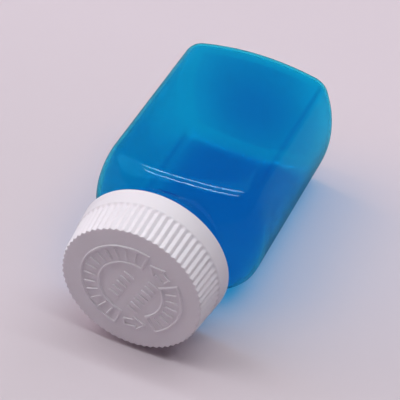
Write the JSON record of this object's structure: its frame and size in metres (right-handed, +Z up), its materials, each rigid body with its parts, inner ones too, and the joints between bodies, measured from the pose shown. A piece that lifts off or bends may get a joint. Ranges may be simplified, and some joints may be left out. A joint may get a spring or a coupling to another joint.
{
  "type": "prescription vial",
  "caption": "Oblong translucent blue plastic vial with bowed panels and rounded corners, lying on a broad side and closed by a white ribbed push-and-turn safety cap that screws onto its neck.",
  "frame": {"origin": "on the ground under the middle of the vial, which lies with its axis level, so the rim of its cap is what touches the ground", "axes": "+Y along the vial's axis towards its base, so the cap faces -Y; +Z up; +X to the right as seen from the cap"},
  "size_m": [0.0588, 0.1034, 0.051],
  "materials": {
    "blue_plastic": "clear tinted gloss",
    "liner_foam": "fine foam",
    "white_plastic": "satin",
    "spring_plastic": "satin",
    "cap_plastic": "fine satin"
  },
  "bodies": {
    "bottle": {"bottle": "blue_plastic"},
    "liner": {"liner": "liner_foam"},
    "inner_cap": {"inner_cap": "white_plastic"},
    "spring_ring": {"spring_ring": "spring_plastic"},
    "outer_cap": {"outer_cap": "cap_plastic"}
  },
  "joints": [
    {"name": "cap_lift", "type": "slide", "parent": "bottle", "child": "liner", "axis": [0, -1, 0], "range_m": [0, 0.01165]},
    {"name": "cap_turn", "type": "hinge", "parent": "liner", "child": "inner_cap", "pos_m": [0, -0.0459, 0.0255], "axis": [0, -1, 0], "range_deg": [0, 990]},
    {"name": "cap_spin", "type": "hinge", "parent": "inner_cap", "child": "spring_ring", "pos_m": [0, -0.047, 0.0255], "axis": [0, -1, 0], "continuous": true},
    {"name": "cap_press", "type": "slide", "parent": "spring_ring", "child": "outer_cap", "axis": [0, 1, 0], "range_m": [0, 0.0015], "stiffness_N_per_m": 8000, "deforming": ["spring_ring"]}
  ],
  "couplings": [
    {"joint": "cap_lift", "follows": "cap_turn", "m_per_rad": 0.0006737}
  ]
}
